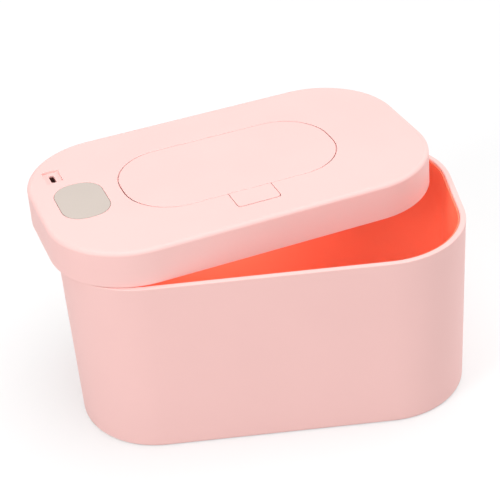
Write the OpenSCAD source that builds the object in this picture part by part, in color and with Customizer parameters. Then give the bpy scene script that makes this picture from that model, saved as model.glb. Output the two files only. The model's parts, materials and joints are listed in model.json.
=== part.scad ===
// Baby wipe warmer: an open tub with a coloured liner and a loose lid that lies askew on its rim.
// The lid holds the heater, the boards, a flap over the dispensing mouth and its release button.
// Origin at the centre of the tub's flat underside, +X to the right, +Y to the back, +Z up.

/* [Tub] */
// Length of the tub, left to right
body_l = 200; // [190:1:220]
// Width of the tub, front to back
body_w = 117.5; // [112:0.5:130]
// Radius of the tub's four upright corners
corner_r = 42.6; // [38:0.1:46]
// Height of the tub from the table to its rim
tub_h = 96; // [70:1:130]
// Thickness of the tub's wall at the rim
tub_wall = 3; // [2.4:0.1:4]
// Thickness of the tub's floor
tub_floor = 3; // [2:0.1:5]
// Radius of the rounded edge round the underside
tub_edge_r = 1.8; // [0.8:0.1:2.4]

/* [Liner] */
// Thickness of the coloured liner
liner_t = 0.8; // [0.6:0.1:1.6]
// Clearance between the liner and the tub's wall
liner_fit = 0.1; // [0.05:0.05:0.3]
// Distance from the rim down to the liner's top edge
liner_drop = 0.8; // [0.4:0.1:3]

/* [Lid] */
// How far the lid's outline lies inside the tub's outline
lid_inset = 0.5; // [0:0.1:1]
// Height of the lid
lid_h = 18.6; // [17.6:0.1:22]
// Thickness of the lid's upright wall
lid_wall = 2; // [1.6:0.1:2.6]
// Thickness of the lid's top
lid_skin = 1.8; // [1.6:0.1:2]
// Radius of the rounded edge round the lid's top
lid_edge_r = 1.4; // [0.8:0.1:1.6]
// Gap between the rim and the lid that lies on it
rest_gap = 0.2; // [0.1:0.05:0.5]
// Angle that the lid is turned from its closed place
askew = 17.3; // [0:0.1:20]

/* [Lid base] */
// Height of the base's underside above the lid's lower edge
base_lift = 0.3; // [0.2:0.1:0.6]
// Thickness of the base plate
base_t = 2; // [1.8:0.1:2.6]
// Clearance between the base plate and the lid's wall
base_fit = 0.1; // [0.05:0.05:0.3]
// Distance of the lid screws from the middle, left and right
screw_x = 67; // [64:0.5:70]
// Distance of the lid screws from the middle, front and back
screw_y = 32; // [30:0.5:36]
// Radius of a lid screw's thread
screw_r = 1.25; // [1:0.05:1.5]
// Length of a lid screw's thread
screw_l = 9; // [7:0.5:11]
// Radius of a lid screw's head
head_r = 2.3; // [2:0.1:2.8]
// Height of a lid screw's head
head_h = 1.4; // [1:0.1:1.8]
// Radius of the bosses that the lid screws go into
boss_r = 3.4; // [2.6:0.1:4]

/* [Flap] */
// Length of the flap, left to right
flap_l = 111.5; // [100:0.5:114]
// Width of the flap, front to back
flap_w = 57.8; // [52:0.1:60]
// Radius of the flap's corners
flap_r = 26; // [16:0.5:27]
// Thickness of the flap
flap_t = 2; // [1.8:0.1:2.2]
// Seam between the flap and the lid's top
seam = 0.45; // [0.35:0.05:0.6]

/* [Hinge] */
// Distance of the hinge pin behind the flap's back edge
pin_back = 4.8; // [4.6:0.1:5.2]
// Distance of the hinge pin below the lid's top
pin_drop = 3.6; // [3.5:0.1:3.8]
// Radius of the hinge pin
pin_r = 0.9; // [0.7:0.05:1]
// Clearance of the arms on the hinge pin
pin_fit = 0.05; // [0.02:0.01:0.08]
// Outer radius of the knuckles round the pin
knuckle_r = 1.6; // [1.4:0.05:1.65]
// Distance of each hinge arm from the middle
arm_x = 20; // [14:1:24]
// Width of a hinge arm
arm_w = 5; // [3:0.5:6]
// Thickness of a hinge arm's curved part
arm_t = 1.8; // [1.4:0.1:2.2]
// Thickness of the ears that hold the pin
ear_w = 2.4; // [1.6:0.1:3]

/* [Release button] */
// Length of the button, left to right
button_l = 22; // [16:0.5:26]
// Width of the button, front to back
button_w = 13.3; // [11:0.1:14]
// Radius of the button's corners
button_r = 1.2; // [0.6:0.1:2.5]
// Height of the button's skirt below the lid's top
button_h = 7.2; // [6.8:0.1:7.6]
// Distance that the button travels when it is pressed
button_travel = 1.5; // [0.8:0.1:2]
// Clearance between the button and its guide
button_fit = 0.25; // [0.2:0.05:0.35]

/* [Display window] */
// Size of the touch window, left to right
window_l = 24; // [18:0.5:26]
// Size of the touch window, front to back
window_w = 34; // [28:0.5:36]
// Radius of the window's corners
window_r = 10.5; // [4:0.5:11]
// Distance of the window's centre from the lid's middle
window_x = 76.5; // [75:0.5:78]
// Thickness of the window
window_t = 1; // [0.8:0.1:1.2]

/* [Charging port] */
// Distance of the port's centre to the left of the lid's middle
port_x = 83.9; // [82:0.1:85]
// Distance of the port's centre to the back of the lid's middle
port_y = 29.2; // [28:0.1:30]
// Size of the port's recess, left to right
port_l = 8.5; // [7:0.1:9]
// Size of the port's recess, front to back
port_w = 12.5; // [11:0.1:13]
// Depth of the port's recess
port_depth = 1.7; // [1:0.1:2.2]
// Thickness of the socket's shell, left to right
socket_l = 2.6; // [2.2:0.1:3]
// Width of the socket's shell, front to back
socket_w = 7.4; // [6:0.1:8.4]
// Depth of the socket
socket_d = 6; // [5:0.1:7]

/* [Dispensing mouth] */
// Length of the raised collar round the mouth
collar_l = 58; // [50:1:64]
// Width of the raised collar round the mouth
collar_w = 36; // [30:1:38]
// Height of the collar above the tray's floor
collar_h = 7; // [5:0.1:7.4]
// Length of the throat below the tray
throat_l = 46; // [36:1:48]
// Width of the throat below the tray
throat_w = 26; // [18:1:27]
// Wall thickness of the tray, its collar and its throat
tray_t = 1.4; // [1:0.1:1.8]
// Length of the slit in the soft mouth
slit_l = 32; // [20:1:36]
// Width of the slit in the soft mouth
slit_w = 7; // [5:0.5:10]
// Thickness of the soft mouth
mouth_t = 1.6; // [1.2:0.1:2]

/* [Heater] */
// Length of the heater plate
heater_l = 112; // [100:1:116]
// Width of the heater plate
heater_w = 58; // [50:1:60]
// Corner radius of the heater plate
heater_r = 16; // [8:1:20]
// Thickness of the heater plate
heater_t = 1; // [0.8:0.1:1.2]
// Thickness of the heater film
film_t = 0.3; // [0.2:0.05:0.4]
// Thickness of the insulation over the film
felt_t = 2.6; // [2:0.1:2.8]

/* [Boards] */
// Size of the main board, left to right
main_l = 31; // [26:1:32]
// Size of the main board, front to back
main_w = 52; // [44:1:54]
// Height of the main board above the base plate
main_lift = 3.6; // [3:0.1:4]
// Thickness of the boards
board_t = 1.2; // [1:0.1:1.6]
// Radius of the board screws' thread
board_screw_r = 0.9; // [0.7:0.05:1.1]

/* [Hidden] */
$fn = 64;
pink = [0.965, 0.78, 0.757];
lid_pink = [1, 0.886, 0.87];
steel = "silver";
board_green = [0.1, 0.4, 0.24];
eps = 0.01; // lets a cut run past the face that it opens
skim = 0.1; // clearance between parts that are seated in one another

// Lid: its outline, its hollow and the heights of its layers above its lower edge
lid_l = body_l - 2 * lid_inset;
lid_w = body_w - 2 * lid_inset;
lid_r = corner_r - lid_inset;
skin_z = lid_h - lid_skin;
base_top = base_lift + base_t;
pad_t = head_h + 1.7;            // the base is this thick round each lid screw
pad_r = head_r + 2.4;
boss_z = base_lift + pad_t;      // lower end of the screw bosses
felt_z = base_lift + heater_t + film_t;
seat_w = 3;                      // width of the base's ledge that the heater plate's edge lies against
film_in = seat_w + 0.4;          // the film and the felt are this much smaller than the plate all round
tray_z = felt_z + felt_t + skim; // underside of the tray's floor
tray_floor = tray_z + tray_t;

// Flap and hinge: the flap is centred on the lid, and its pin lies behind and below its back edge
flap_y = 0.4;
flap_lip = 0.3;                  // upright part of the flap's edge, above its undercut
flap_z = lid_h - flap_t;         // underside of the flap
flap_back = flap_y + flap_w / 2;
flap_front = flap_y - flap_w / 2;
pin_y = flap_back + pin_back;
pin_z = lid_h - pin_drop;
arm_in = norm([pin_back - seam, pin_drop]) + 0.35; // clears the corner of the lid's top
arm_out = arm_in + arm_t;
arm_side = 0.3;                  // gap between an arm and the ears beside it
spoke_at = 300;                  // direction in which the arm reaches its knuckle
ear_hang = knuckle_r + 0.4;
ear_in = arm_x - arm_w / 2 - arm_side;
ear_out = arm_x + arm_w / 2 + arm_side;
pin_l = 2 * (ear_out + ear_w);

// Tray: it runs under the flap's edge at the front and sides and reaches behind the hinge arms
tray_top = flap_z - 0.3;
tray_l = flap_l - 2 * (flap_t - flap_lip) + 2 * tray_t;
tray_front = flap_front + 0.9;
tray_back = pin_y + knuckle_r + arm_out * cos(spoke_at - 270) * 0.5 + 4.2;
tray_w = tray_back - tray_front;
tray_mid = (tray_back + tray_front) / 2;
tray_r = 20;
throat_r = throat_w / 2 - 1;
collar_r = collar_w / 2 - 1;
slit_r = slit_w / 2 - 0.2;

// Button: it meets the flap's front edge and is kept in by tabs below its guide
button_back = flap_front - seam;
button_y = button_back - button_w / 2;
button_t = 2;
skirt_t = 1.2;
guide_t = 1.4;
guide_low = lid_h - button_h + 1.6; // lower end of the guide
tab_out = 0.9;
tab_h = 1.4;
spring_in = 1.7;
spring_out = 2.5;
post_r = 3.2;
post_top = base_top + 5.7;
latch_w = 10;                    // width of the flap's catch
latch_low = flap_z - 3.2;

// Sensors: they lie on the film in two grooves of the insulation, left of the throat
sensor_x = 38;
sensor_r = 1.1;
fuse_l = 9;
fuse_y = -10;
thermistor_l = 5;
thermistor_y = 8;
wire_r = 0.5;
wire_side = tray_l / 2 + 1.1;    // wires pass between the tray and the main board
wire_low = base_top + wire_r + skim;

// Display: window, board and digits
window_fit = 0.08;
digit_y = -4;
ledge = 2;                       // width of the ledge that the window lies on
digit_h = 3.4;
digit_l = 12;
digit_w = 19;
digit_top = lid_h - window_t - skim;
display_z = digit_top - digit_h - board_t;
display_l = 22;
display_w = window_w + 11;
display_post_r = 2.2;
display_post_y = window_w / 2 + 3.3;

// Boards' screws: their thread's length, and their head's radius and height
board_screw_l = 3.4;
board_head_r = 1.6;
board_head_h = 1;

// Main board: on four posts, clear of the screw bosses
main_gap = 2.4;                  // between the tray and the board, with room for the wires
main_x = -(tray_l / 2 + main_gap + main_l / 2);
main_z = base_top + main_lift;
main_post_r = 2.2;
main_post_x = main_l / 2 - 3;
main_post_y = main_w / 2 - 3;
chip_w = 8;
chip_h = 1.6;
driver_l = 6;
driver_w = 5;
relay_l = 7;
relay_w = 10;
relay_h = 3.4;
capacitor_r = 2.5;
main_bore = board_screw_l - board_t + 0.6; // depth of the screws' holes in the posts

// Port: the socket stands on its own board under a thickened floor
port_floor = lid_h - port_depth;
port_skin = 1.6;
port_wall = 1.6;
socket_top = port_floor - 0.6;
socket_low = socket_top - socket_d;
port_board_l = 9;
port_board_w = 14;
port_post_l = 4;
port_post_w = 5;

lid_z = tub_h + rest_gap;

// One side of an upright section, from the middle line out to `reach`, with rounded outer edges
function edge_profile(reach, h, low, high, steps = 6) = concat(
    [[0, 0]],
    low > 0 ? [for (i = [0:steps]) let (a = -90 + 90 * i / steps)
        [reach - low + low * cos(a), low + low * sin(a)]] : [[reach, 0]],
    high > 0 ? [for (i = [0:steps]) let (a = 90 * i / steps)
        [reach - high + high * cos(a), h - high + high * sin(a)]] : [[reach, h]],
    [[0, h]]
);

// Rounded block, with `low` and `high` the radii of its lower and upper edges
module slab(l, w, r, h, low = 0, high = 0) {
    core_l = l - 2 * r;
    core_w = w - 2 * r;
    translate([-core_l / 2, -core_w / 2, 0]) cube([core_l, core_w, h]);
    for (turn = [0:3]) {
        run = turn % 2 == 0 ? core_w : core_l;
        out = turn % 2 == 0 ? core_l / 2 : core_w / 2;
        rotate(90 * turn) translate([out, run / 2, 0]) {
            rotate([90, 0, 0]) linear_extrude(run) polygon(edge_profile(r, h, low, high));
            rotate_extrude(angle = 90) polygon(edge_profile(r, h, low, high));
        }
    }
}

// Plain rounded plate from height z0 to z1
module plate(l, w, r, z0, z1) {
    translate([0, 0, z0]) slab(l, w, r, z1 - z0);
}

// Upright wall that follows a rounded rectangle, measured at its outside
module wall(l, w, r, t, z0, z1) {
    difference() {
        plate(l, w, r, z0, z1);
        plate(l - 2 * t, w - 2 * t, max(r - t, 0.3), z0 - eps, z1 + eps);
    }
}

// Rod from height z0 to z1
module rod(r, z0, z1) {
    translate([0, 0, z0]) cylinder(r = r, h = z1 - z0);
}

// Tube from height z0 to z1
module tube(r_in, r_out, z0, z1) {
    difference() {
        rod(r_out, z0, z1);
        rod(r_in, z0 - eps, z1 + eps);
    }
}

// Puts a piece drawn in the closed lid's place where the loose lid lies: it is turned about
// the front left screw, on the rim
module on_lid() {
    translate([-screw_x, -screw_y, lid_z]) rotate(askew) translate([screw_x, screw_y, 0]) children();
}

// Puts a piece that is drawn round the origin, along X, on the hinge pin's axis
module on_pin() {
    translate([0, pin_y, pin_z]) children();
}

// Screw with its head at the bottom and a cross recess in the head
module screw(r, l, rh, hh) {
    cross_w = rh * 0.3;
    difference() {
        union() {
            rod(rh, 0, hh);
            rod(r, hh - eps, hh + l);
        }
        for (turn = [0, 90]) rotate(turn) translate([-rh * 0.6, -cross_w / 2, -eps])
            cube([rh * 1.2, cross_w, hh * 0.5]);
    }
}

// ---- Tub ----

module tub_shell() {
    color(pink) difference() {
        slab(body_l, body_w, corner_r, tub_h, tub_edge_r, 0);
        translate([0, 0, tub_floor])
            slab(body_l - 2 * tub_wall, body_w - 2 * tub_wall, corner_r - tub_wall, tub_h);
    }
}

module inner_liner() {
    out = tub_wall + liner_fit;
    in = out + liner_t;
    color("orangered") difference() {
        plate(body_l - 2 * out, body_w - 2 * out, corner_r - out, tub_floor, tub_h - liner_drop);
        plate(body_l - 2 * in, body_w - 2 * in, corner_r - in, tub_floor + liner_t, tub_h);
    }
}

// ---- Lid ----

module lid_openings() {
    translate([0, flap_y, 0])
        plate(flap_l + 2 * seam, flap_w + 2 * seam, flap_r + seam, skin_z - eps, lid_h + eps);
    translate([0, button_y, 0])
        plate(button_l + 2 * button_fit, button_w + 2 * button_fit, button_r, skin_z - eps, lid_h + eps);
    translate([-button_l / 2 + button_r, button_back - button_r, skin_z - eps])
        cube([button_l - 2 * button_r, 2 * button_r + seam, lid_skin + 2 * eps]);
    translate([-window_x, 0, 0]) {
        plate(window_l + 2 * window_fit, window_w + 2 * window_fit, window_r,
            lid_h - window_t, lid_h + eps);
        plate(window_l - 2 * ledge, window_w - 2 * ledge, window_r - ledge, skin_z - eps, lid_h);
    }
    translate([-port_x, port_y, 0]) {
        plate(port_l, port_w, 1, port_floor, lid_h + eps);
        plate(socket_l, socket_w, 0.9, port_floor - port_skin - eps, port_floor + eps);
    }
}

module hinge_ears() {
    on_pin() for (side = [-1, 1]) for (x = [ear_in - ear_w, ear_out])
        translate([side < 0 ? -x - ear_w : x, -ear_hang, -ear_hang])
            cube([ear_w, 2 * ear_hang, skin_z - pin_z + ear_hang + eps]);
}

module button_guide() {
    translate([0, button_y, 0]) difference() {
        wall(button_l + 2 * (button_fit + guide_t), button_w + 2 * (button_fit + guide_t),
            button_r + guide_t, guide_t, guide_low, skin_z + eps);
        translate([-button_l, button_w / 2 - guide_t, guide_low - eps])
            cube([2 * button_l, button_w, lid_h]);
    }
}

module lid_shell() {
    color(lid_pink) difference() {
        union() {
            difference() {
                slab(lid_l, lid_w, lid_r, lid_h, 0, lid_edge_r);
                plate(lid_l - 2 * lid_wall, lid_w - 2 * lid_wall, lid_r - lid_wall, -eps, skin_z);
            }
            for (x = [-screw_x, screw_x], y = [-screw_y, screw_y])
                translate([x, y, 0]) rod(boss_r, boss_z, skin_z + eps);
            for (side = [-1, 1]) translate([-window_x, side * display_post_y, 0])
                rod(display_post_r, display_z + board_t, skin_z + eps);
            translate([-port_x, port_y, 0])
                plate(port_l + 2 * port_wall, port_w + 2 * port_wall, 1 + port_wall,
                    port_floor - port_skin, skin_z + eps);
            hinge_ears();
            button_guide();
        }
        lid_openings();
        for (x = [-screw_x, screw_x], y = [-screw_y, screw_y])
            translate([x, y, 0]) rod(screw_r + 0.05, boss_z - eps, boss_z + screw_l);
        for (side = [-1, 1]) translate([-window_x, side * display_post_y, 0])
            rod(board_screw_r + 0.02, display_z, display_z + board_screw_l + 0.4);
        on_pin() rotate([0, 90, 0]) rod(pin_r + 0.02, -pin_l / 2 - eps, pin_l / 2 + eps);
    }
}

module lid_base() {
    edge = lid_wall + base_fit;
    rebate = heater_t + skim;
    color(pink) difference() {
        union() {
            plate(lid_l - 2 * edge, lid_w - 2 * edge, lid_r - edge, base_lift, base_top);
            for (x = [-screw_x, screw_x], y = [-screw_y, screw_y])
                translate([x, y, 0]) rod(pad_r, base_top - eps, boss_z);
            for (x = [-main_post_x, main_post_x], y = [-main_post_y, main_post_y])
                translate([main_x + x, y, 0]) rod(main_post_r, base_top - eps, main_z);
            translate([0, button_y, 0]) rod(post_r, base_top - eps, post_top);
            translate([-port_x, port_y, 0])
                plate(port_post_l, port_post_w, 1, base_top - eps, socket_low - board_t);
        }
        plate(heater_l + 2 * skim, heater_w + 2 * skim, heater_r + skim,
            base_lift - eps, base_lift + rebate);
        plate(heater_l - 2 * seat_w, heater_w - 2 * seat_w, heater_r - seat_w, base_lift, base_top + eps);
        for (x = [-screw_x, screw_x], y = [-screw_y, screw_y]) translate([x, y, 0]) {
            rod(head_r + 0.3, base_lift - eps, base_lift + head_h + 0.4);
            rod(screw_r + 0.3, base_lift, boss_z + eps);
        }
        for (x = [-main_post_x, main_post_x], y = [-main_post_y, main_post_y])
            translate([main_x + x, y, 0]) rod(board_screw_r + 0.02, main_z - main_bore, main_z + eps);
    }
}

module dispenser_tray() {
    catch_gap = 2;
    color(lid_pink) difference() {
        union() {
            translate([0, tray_mid, 0]) {
                plate(tray_l, tray_w, tray_r, tray_z, tray_floor);
                wall(tray_l, tray_w, tray_r, tray_t, tray_floor - eps, tray_top);
            }
            plate(throat_l, throat_w, throat_r, base_lift, tray_z + eps);
            wall(collar_l, collar_w, collar_r, tray_t, tray_floor - eps, tray_floor + collar_h);
        }
        plate(throat_l - 2 * tray_t, throat_w - 2 * tray_t, throat_r - tray_t,
            base_lift - eps, tray_floor + eps);
        translate([-latch_w / 2 - catch_gap / 2, tray_front - tray_t, latch_low - 0.6])
            cube([latch_w + catch_gap, 3 * tray_t, lid_h]);
    }
}

module soft_mouth() {
    room = tray_t + skim;
    lip = 1.2;
    color("whitesmoke") difference() {
        union() {
            plate(collar_l - 2 * room, collar_w - 2 * room, collar_r - room,
                tray_floor, tray_floor + mouth_t);
            plate(slit_l + 2 * lip, slit_w + 2 * lip, slit_r + lip,
                tray_floor + mouth_t - eps, tray_floor + mouth_t + lip);
        }
        plate(slit_l, slit_w, slit_r, tray_floor - eps, tray_floor + mouth_t + lip + eps);
    }
}

// ---- Heater ----

module throat_hole(z0, z1) {
    plate(throat_l + 2 * skim, throat_w + 2 * skim, throat_r + skim, z0, z1);
}

module heater_plate() {
    z1 = base_lift + heater_t;
    color("lightgray") difference() {
        plate(heater_l, heater_w, heater_r, base_lift, z1);
        throat_hole(base_lift - eps, z1 + eps);
    }
}

module heater_film() {
    z0 = base_lift + heater_t;
    color("darkorange") difference() {
        plate(heater_l - 2 * film_in, heater_w - 2 * film_in, heater_r - film_in, z0, z0 + film_t);
        throat_hole(z0 - eps, z0 + film_t + eps);
    }
}

module insulation_felt() {
    color("linen") difference() {
        plate(heater_l - 2 * film_in, heater_w - 2 * film_in, heater_r - film_in, felt_z, felt_z + felt_t);
        throat_hole(felt_z - eps, felt_z + felt_t + eps);
        for (y = [fuse_y, thermistor_y]) translate([-heater_l / 2, y - sensor_r - 0.3, felt_z - eps])
            cube([heater_l / 2 - sensor_x + fuse_l / 2 + 0.6, 2 * sensor_r + 0.6, felt_t + 2 * eps]);
    }
}

module thermistor() {
    color("black") translate([-sensor_x, thermistor_y, felt_z + sensor_r]) rotate([0, 90, 0])
        rod(sensor_r, -thermistor_l / 2, thermistor_l / 2);
}

module thermal_fuse() {
    color(steel) translate([-sensor_x, fuse_y, felt_z + sensor_r]) rotate([0, 90, 0])
        rod(sensor_r, -fuse_l / 2, fuse_l / 2);
}

// ---- Boards, display and port ----

module main_board() {
    color(board_green) translate([main_x, 0, 0]) difference() {
        plate(main_l, main_w, 1.5, main_z, main_z + board_t);
        for (x = [-main_post_x, main_post_x], y = [-main_post_y, main_post_y])
            translate([x, y, 0]) rod(board_screw_r + 0.15, main_z - eps, main_z + board_t + eps);
    }
}

module main_chips() {
    top = main_z + board_t;
    color("dimgray") translate([main_x, 0, top]) {
        translate([-main_l / 4, -main_w / 4, chip_h / 2]) cube([chip_w, chip_w, chip_h], center = true);
        translate([main_l / 4, -main_w / 4, relay_h / 2]) cube([relay_l, relay_w, relay_h], center = true);
        translate([-main_l / 4, main_w / 8, chip_h / 2]) cube([driver_l, driver_w, chip_h], center = true);
        translate([main_l / 4, main_w / 4, 0]) rod(capacitor_r, 0, relay_h);
    }
}

module display_board() {
    color(board_green) translate([-window_x, 0, 0]) difference() {
        plate(display_l, display_w, 1.5, display_z, display_z + board_t);
        for (side = [-1, 1]) translate([0, side * display_post_y, 0])
            rod(board_screw_r + 0.15, display_z - eps, display_z + board_t + eps);
    }
}

module digit_display() {
    color("ivory") translate([-window_x - digit_l / 2, digit_y - digit_w / 2, display_z + board_t])
        cube([digit_l, digit_w, digit_h]);
}

module touch_spring() {
    color(steel) translate([-window_x, digit_y + digit_w / 2 + 4, 0])
        tube(1.9, 2.5, display_z + board_t, digit_top);
}

module touch_window() {
    color([0.875, 0.824, 0.788]) translate([-window_x, 0, 0])
        plate(window_l, window_w, window_r, lid_h - window_t, lid_h);
}

module port_board() {
    color(board_green) translate([-port_x, port_y, 0])
        plate(port_board_l, port_board_w, 1, socket_low - board_t, socket_low);
}

module port_socket() {
    metal = 0.3;
    tongue = 0.6;
    hollow = skim + 2 * metal;
    color(steel) translate([-port_x, port_y, 0]) {
        difference() {
            plate(socket_l - skim, socket_w - skim, 0.8, socket_low, socket_top);
            plate(socket_l - hollow, socket_w - hollow, 0.5, socket_low + 0.8, socket_top + eps);
        }
        translate([-tongue / 2, -socket_w / 4, socket_low + 0.8 - eps])
            cube([tongue, socket_w / 2, socket_d - 2.2]);
    }
}

// Wire along a list of points, each leg along X, Y or Z and square to the leg before it
module wire(points) {
    for (i = [0:len(points) - 2]) {
        way = points[i + 1] - points[i];
        run = norm(way);
        lead = i > 0 ? wire_r : 0;
        translate(points[i]) rotate([0, atan2(norm([way[0], way[1]]), way[2]), atan2(way[1], way[0])])
            rod(wire_r, -lead, run + (i < len(points) - 2 ? wire_r : 0), $fn = 24);
    }
}

module wires() {
    board_top = main_z + board_t + wire_r;
    port_top = socket_low + wire_r;
    drop_x = -window_x + 1.5;
    start_y = port_y - port_board_w / 2 + 1.6;
    end_y = main_w / 2 - 8;
    color("firebrick") {
        for (lane = [-1, 1]) wire([
            [-port_x + port_board_l / 2 - 1.5, start_y + lane, port_top],
            [drop_x - lane, start_y + lane, port_top],
            [drop_x - lane, start_y + lane, board_top],
            [drop_x - lane, end_y, board_top]
        ]);
        for (end = [[fuse_y, fuse_l / 2], [thermistor_y, thermistor_l / 2]]) wire([
            [main_x + main_l / 2 - 2.5, end[0], board_top],
            [-wire_side, end[0], board_top],
            [-wire_side, end[0], wire_low],
            [-sensor_x - end[1], end[0], wire_low]
        ]);
    }
}

module board_screws() {
    color(steel) {
        for (x = [-main_post_x, main_post_x], y = [-main_post_y, main_post_y])
            translate([main_x + x, y, main_z + board_t + board_head_h]) rotate([180, 0, 0])
                screw(board_screw_r, board_screw_l, board_head_r, board_head_h);
        for (side = [-1, 1]) translate([-window_x, side * display_post_y, display_z - board_head_h])
            screw(board_screw_r, board_screw_l, board_head_r, board_head_h);
    }
}

module lid_screw() {
    translate([0, 0, base_lift + 0.3]) screw(screw_r, screw_l, head_r, head_h);
}

module lid_screws() {
    color(steel) {
        translate([screw_x, -screw_y, 0]) lid_screw();
        for (x = [-screw_x, screw_x]) translate([x, screw_y, 0]) lid_screw();
    }
}

module corner_screw() {
    color(steel) translate([-screw_x, -screw_y, 0]) lid_screw();
}

// ---- Flap and button ----

module hinge_pin() {
    color(steel) on_pin() rotate([0, 90, 0]) rod(pin_r, -pin_l / 2, pin_l / 2);
}

module flap_spring() {
    coil_in = pin_r + 0.15;
    leg_r = 0.25;
    coil_out = coil_in + 2 * leg_r + 0.15;
    coil_mid = (coil_in + coil_out) / 2;
    coil_l = 8;
    leg_y = 9;                                  // how far the lower leg reaches under the flap
    leg_z = pin_drop - flap_t - leg_r - 0.3;
    rise = leg_z + coil_mid;
    color(steel) on_pin() {
        rotate([0, 90, 0]) tube(coil_in, coil_out, -coil_l / 2, coil_l / 2);
        translate([coil_l / 2 - 2 * leg_r, 0, -coil_mid]) rotate([90 - atan2(rise, leg_y), 0, 0])
            rod(leg_r, 0, norm([leg_y, rise]), $fn = 24);
        translate([2 * leg_r - coil_l / 2, 0, coil_mid]) rotate([-90, 0, 0]) rod(leg_r, 0, 4, $fn = 24);
    }
}

module arm_outline() {
    sweep = concat([[0, 0]], [for (a = [160:20:spoke_at]) 2 * arm_out * [cos(a), sin(a)]]);
    difference() {
        union() {
            circle(r = knuckle_r);
            intersection() {
                difference() {
                    circle(r = arm_out);
                    circle(r = arm_in);
                }
                polygon(sweep);
            }
            rotate(spoke_at) translate([0, -arm_t]) square([arm_in + arm_t / 2, arm_t]);
        }
        circle(r = pin_r + pin_fit);
    }
}

module flap_door() {
    undercut = flap_t - flap_lip;
    color(lid_pink) {
        translate([0, flap_y, 0]) hull() {
            plate(flap_l, flap_w, flap_r, lid_h - flap_lip, lid_h, $fn = 48);
            plate(flap_l - 2 * undercut, flap_w - 2 * undercut, flap_r - undercut,
                flap_z, flap_z + eps, $fn = 48);
        }
        on_pin() for (side = [-1, 1]) translate([side * arm_x - arm_w / 2, 0, 0])
            rotate([90, 0, 90]) linear_extrude(arm_w) arm_outline();
        translate([-latch_w / 2, tray_front + 0.6, latch_low])
            cube([latch_w, 1.2, flap_z - latch_low + 0.2]);
        translate([-latch_w / 2, flap_front + skim, latch_low])
            cube([latch_w, tray_front - flap_front + 0.8, 1]);
    }
}

module flap_seal() {
    low = tray_floor + collar_h + 0.3;
    spread = 1;
    color("whitesmoke") wall(collar_l + 2 * spread, collar_w + 2 * spread, collar_r + spread,
        tray_t + 2 * spread, low, flap_z);
}

module release_button() {
    low = lid_h - button_h;
    color(lid_pink) translate([0, button_y, 0]) {
        plate(button_l, button_w, button_r, lid_h - button_t, lid_h);
        difference() {
            wall(button_l, button_w, button_r, skirt_t, low, lid_h - button_t + eps);
            translate([-latch_w / 2 - 1, 0, low - eps]) cube([latch_w + 2, button_w, 3.4]);
        }
        for (side = [-1, 1]) translate([side * (button_l / 2 + tab_out / 2) - tab_out / 2 - 0.05, -3, low])
            cube([tab_out + 0.1, 6, tab_h]);
        rod(spring_in - 0.2, low, lid_h - button_t + eps);
    }
}

module button_spring() {
    color(steel) translate([0, button_y, 0]) tube(spring_in, spring_out, post_top, lid_h - button_t);
}

tub_shell();
inner_liner();
on_lid() lid_shell();
on_lid() lid_base();
on_lid() dispenser_tray();
on_lid() soft_mouth();
on_lid() heater_plate();
on_lid() heater_film();
on_lid() insulation_felt();
on_lid() thermistor();
on_lid() thermal_fuse();
on_lid() main_board();
on_lid() main_chips();
on_lid() display_board();
on_lid() digit_display();
on_lid() touch_spring();
on_lid() touch_window();
on_lid() port_board();
on_lid() port_socket();
on_lid() wires();
on_lid() board_screws();
on_lid() lid_screws();
on_lid() corner_screw();
on_lid() hinge_pin();
on_lid() flap_spring();
on_lid() flap_door();
on_lid() flap_seal();
on_lid() release_button();
on_lid() button_spring();
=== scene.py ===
"""Baby wipe warmer: the looks of the tub, its coloured liner and its loose heated lid.

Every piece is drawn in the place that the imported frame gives. The lid's own pieces are drawn
round the lid's middle, on its lower edge, and are then laid where the loose lid lies.
"""
import json
import math

import bmesh
import bpy
from bpy.props import FloatProperty, FloatVectorProperty, PointerProperty
from bpy.types import Operator, Panel, PropertyGroup
from mathutils import Matrix, Vector


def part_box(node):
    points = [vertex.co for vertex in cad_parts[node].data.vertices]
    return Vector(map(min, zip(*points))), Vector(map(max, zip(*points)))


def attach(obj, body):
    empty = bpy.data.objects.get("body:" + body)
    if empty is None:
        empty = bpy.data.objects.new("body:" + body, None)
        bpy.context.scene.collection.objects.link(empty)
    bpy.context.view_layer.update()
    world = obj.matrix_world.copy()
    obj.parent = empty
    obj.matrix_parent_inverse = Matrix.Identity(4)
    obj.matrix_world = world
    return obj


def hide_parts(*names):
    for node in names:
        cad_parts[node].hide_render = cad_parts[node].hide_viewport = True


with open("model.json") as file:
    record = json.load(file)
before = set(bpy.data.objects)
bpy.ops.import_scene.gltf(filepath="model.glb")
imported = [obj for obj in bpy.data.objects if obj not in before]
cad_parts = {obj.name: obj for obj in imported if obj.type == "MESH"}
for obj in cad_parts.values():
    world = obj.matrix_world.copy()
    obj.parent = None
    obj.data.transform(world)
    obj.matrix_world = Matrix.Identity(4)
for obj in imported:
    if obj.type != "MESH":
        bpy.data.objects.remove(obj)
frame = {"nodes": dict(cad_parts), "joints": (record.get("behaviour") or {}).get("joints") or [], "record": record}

bl_info = {
    "name": "Wipe Warmer",
    "version": (1, 0, 0),
    "blender": (4, 5, 0),
    "location": "3D View > Sidebar > Wipe Warmer",
    "description": "Builds a rounded wipe warmer with a loose lid, and the stage under it",
    "category": "Add Mesh",
}

MM = 0.001

CORNER_STEPS = 24  # segments in each upright corner
# Segments across a rounded edge, by its size
LARGE_STEPS, MEDIUM_STEPS, EDGE_STEPS, SMALL_STEPS = 6, 5, 4, 3
ARC_PROFILE = 0.5  # makes a bevel a true arc
SHARP = math.radians(35)  # an edge that turns by more than this is shaded as a sharp one
WELD = 0.001 * MM  # points closer than this are one
STACK = 50 * MM  # height between the hoops of a skin while they are being joined
RING = 0.6 * MM  # width of the flat ring that is kept round an opening
LAP = 0.2 * MM  # how far a small block reaches into what carries it

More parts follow.
